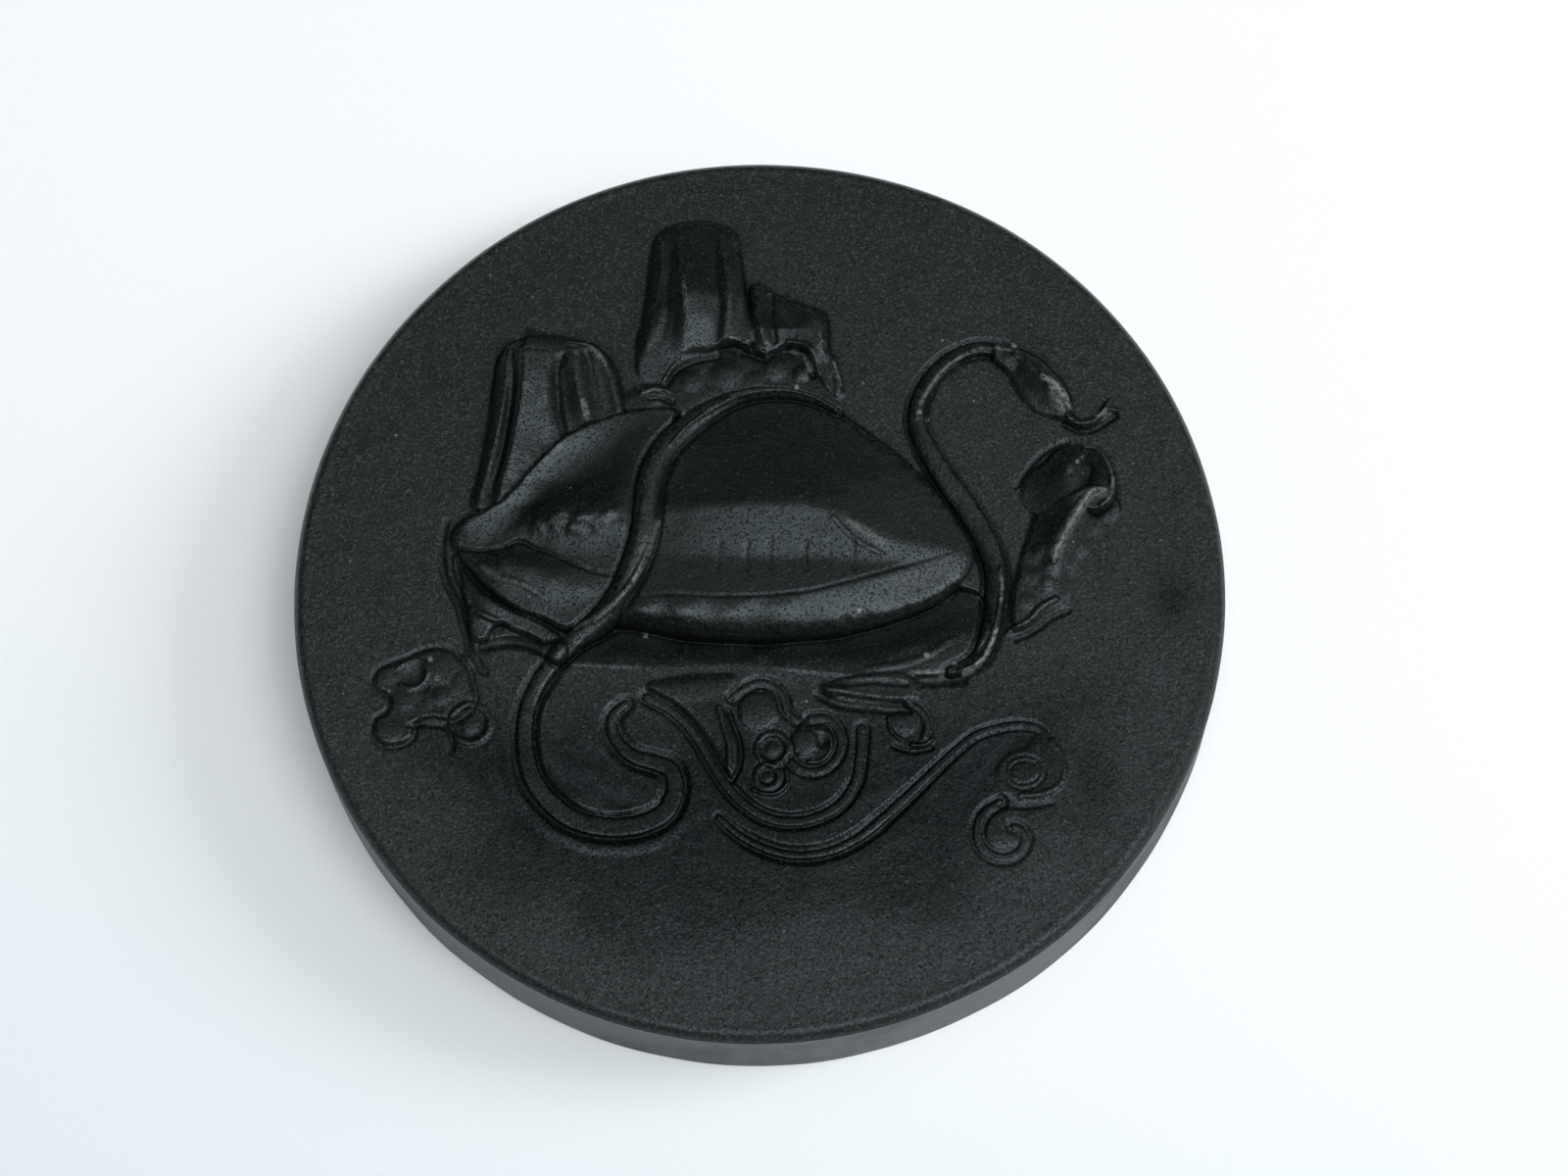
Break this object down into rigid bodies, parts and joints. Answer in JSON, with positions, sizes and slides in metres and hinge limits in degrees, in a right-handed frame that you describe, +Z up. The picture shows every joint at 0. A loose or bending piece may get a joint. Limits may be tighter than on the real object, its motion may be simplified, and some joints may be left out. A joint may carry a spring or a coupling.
{
  "type": "ink stick",
  "caption": "Round pressed ink cake with drafted side, rounded face edge and a tortoise, snake, rock and cloud relief; ground on a wet stone to make ink.",
  "frame": {"origin": "centre of the flat base that the cake lies on", "axes": "+Z up out of the moulded face; +Y towards the rocks of the picture; +X towards the snake's head"},
  "size_m": [0.1, 0.1, 0.0145],
  "materials": {
    "ink_field": "satin",
    "ink_relief": "satin"
  },
  "bodies": {
    "root": {"cloud_curls": "ink_relief", "cloud_hook": "ink_relief", "cloud_leaf": "ink_relief", "cloud_left": "ink_relief", "cloud_left_ring": "ink_relief", "cloud_pendant": "ink_relief", "cloud_scroll": "ink_relief", "cloud_streamer": "ink_relief", "foot_curl": "ink_relief", "front_foot": "ink_relief", "ink_disc": "ink_field", "rear_foot": "ink_relief", "rock_base": "ink_relief", "rock_centre": "ink_relief", "rock_left": "ink_relief", "rock_right": "ink_relief", "shell_dome": "ink_relief", "shell_dome_rear": "ink_relief", "shell_rim": "ink_relief", "shell_rim_rear": "ink_relief", "snake_coil": "ink_relief", "snake_head": "ink_relief", "snake_neck": "ink_relief", "snake_tail": "ink_relief", "snake_tongue": "ink_relief", "tortoise_belly": "ink_relief", "tortoise_head": "ink_relief", "tortoise_neck": "ink_relief"}
  },
  "joints": []
}
